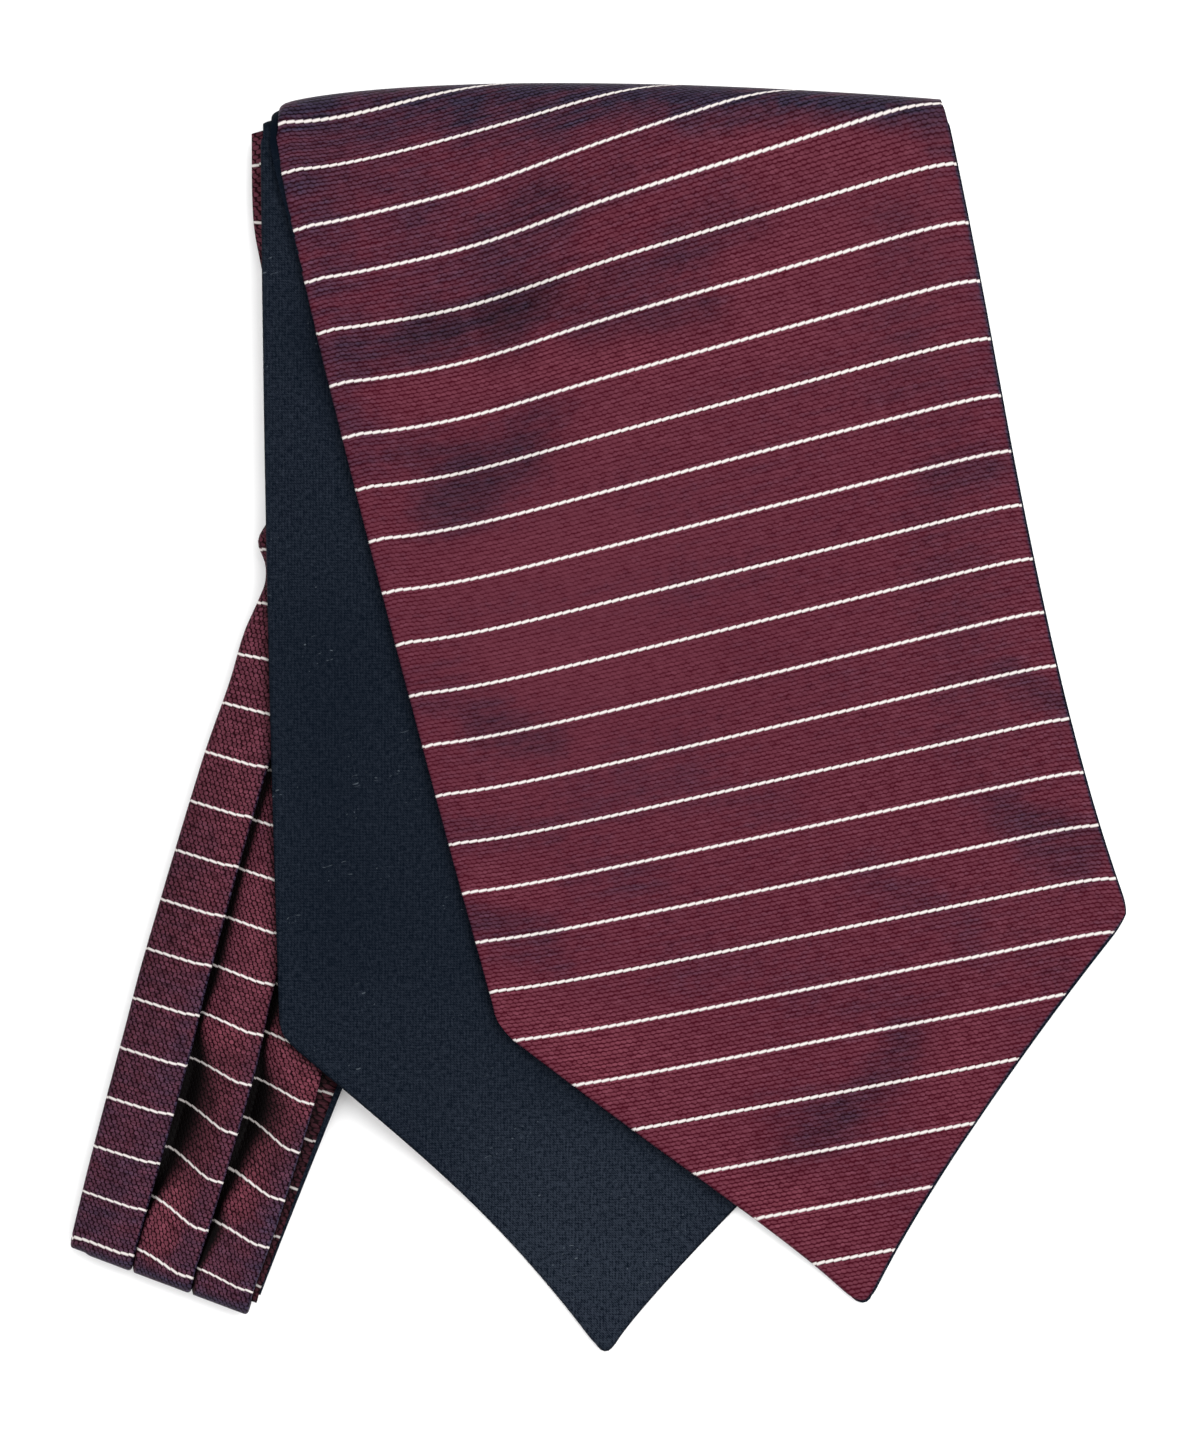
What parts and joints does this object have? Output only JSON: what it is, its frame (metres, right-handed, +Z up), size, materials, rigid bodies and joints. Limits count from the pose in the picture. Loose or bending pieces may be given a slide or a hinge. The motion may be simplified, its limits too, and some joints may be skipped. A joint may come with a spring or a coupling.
{
  "type": "folded silk cravat",
  "caption": "Lined silk cravat folded flat: a pointed striped blade over a second one lining side up, and a pleated neckband folded at its middle.",
  "frame": {"origin": "middle of the footprint, on the surface that the folded cravat rests on", "axes": "+Z up from that surface, +Y from the blades' points towards the top fold, +X to the right as seen from above"},
  "size_m": [0.2647, 0.3176, 0.016],
  "materials": {
    "striped_silk": "satin shot silk with thin cream stripes",
    "navy_lining": "matt fine twill"
  },
  "bodies": {
    "root": {"front_blade_silk": "striped_silk", "front_blade_lining": "navy_lining", "back_blade_lining": "navy_lining", "back_blade_silk": "striped_silk", "neckband_silk": "striped_silk", "neckband_lining": "navy_lining", "folded_layers": "striped_silk"}
  },
  "joints": []
}
